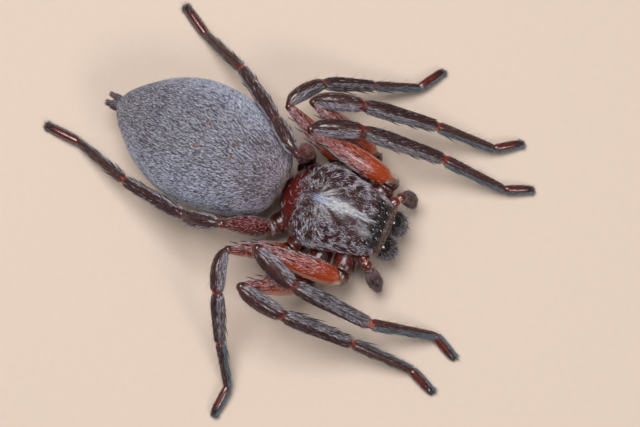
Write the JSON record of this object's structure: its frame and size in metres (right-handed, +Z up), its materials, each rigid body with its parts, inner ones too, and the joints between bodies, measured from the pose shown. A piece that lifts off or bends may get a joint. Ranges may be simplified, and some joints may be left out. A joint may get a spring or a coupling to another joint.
{
  "type": "thelcticopis huntsman spider",
  "caption": "Still life-size huntsman spider of the genus Thelcticopis, standing with its long legs drawn forward, broad grey velvety abdomen and dark red fore body.",
  "frame": {"origin": "on the floor, at the middle of the box round the animal", "axes": "+Z up, -Y the way the head points, +X the animal's left side"},
  "size_m": [0.032, 0.0364, 0.009],
  "materials": {
    "abdomen_velvet": "matt short grey velvet hair",
    "carapace_cuticle": "dark red-brown cuticle under pale lying hairs",
    "red_cuticle": "glossy dark red cuticle",
    "orange_cuticle": "glossy orange-red cuticle with fine pale hairs",
    "leg_velvet": "dark brown cuticle with grey lying hairs and black spines",
    "black_cuticle": "glossy black cuticle",
    "eye_lens": "polished black lens",
    "palp_brown": "dark brown hairy cuticle"
  },
  "bodies": {
    "root": {"prosoma": "carapace_cuticle", "opisthosoma": "abdomen_velvet", "spinnerets": "palp_brown", "chelicera_left": "black_cuticle", "chelicera_right": "black_cuticle", "fang_left": "black_cuticle", "fang_right": "black_cuticle", "palp_left": "palp_brown", "palp_right": "palp_brown", "eye_front_median_left": "eye_lens", "eye_front_median_right": "eye_lens", "eye_front_lateral_left": "eye_lens", "eye_front_lateral_right": "eye_lens", "eye_rear_median_left": "eye_lens", "eye_rear_median_right": "eye_lens", "eye_rear_lateral_left": "eye_lens", "eye_rear_lateral_right": "eye_lens", "leg_left_1_coxa": "red_cuticle", "leg_left_1_femur": "orange_cuticle", "leg_left_1_tibia": "leg_velvet", "leg_left_1_metatarsus": "leg_velvet", "leg_left_1_tarsus": "red_cuticle", "leg_left_2_coxa": "red_cuticle", "leg_left_2_femur": "orange_cuticle", "leg_left_2_tibia": "leg_velvet", "leg_left_2_metatarsus": "leg_velvet", "leg_left_2_tarsus": "red_cuticle", "leg_left_3_coxa": "red_cuticle", "leg_left_3_femur": "orange_cuticle", "leg_left_3_tibia": "leg_velvet", "leg_left_3_metatarsus": "leg_velvet", "leg_left_3_tarsus": "red_cuticle", "leg_left_4_coxa": "red_cuticle", "leg_left_4_femur": "orange_cuticle", "leg_left_4_tibia": "leg_velvet", "leg_left_4_metatarsus": "leg_velvet", "leg_left_4_tarsus": "red_cuticle", "leg_right_1_coxa": "red_cuticle", "leg_right_1_femur": "orange_cuticle", "leg_right_1_tibia": "leg_velvet", "leg_right_1_metatarsus": "leg_velvet", "leg_right_1_tarsus": "red_cuticle", "leg_right_2_coxa": "red_cuticle", "leg_right_2_femur": "orange_cuticle", "leg_right_2_tibia": "leg_velvet", "leg_right_2_metatarsus": "leg_velvet", "leg_right_2_tarsus": "red_cuticle", "leg_right_3_coxa": "red_cuticle", "leg_right_3_femur": "orange_cuticle", "leg_right_3_tibia": "leg_velvet", "leg_right_3_metatarsus": "leg_velvet", "leg_right_3_tarsus": "red_cuticle", "leg_right_4_coxa": "red_cuticle", "leg_right_4_femur": "orange_cuticle", "leg_right_4_tibia": "leg_velvet", "leg_right_4_metatarsus": "leg_velvet", "leg_right_4_tarsus": "red_cuticle"}
  },
  "joints": []
}
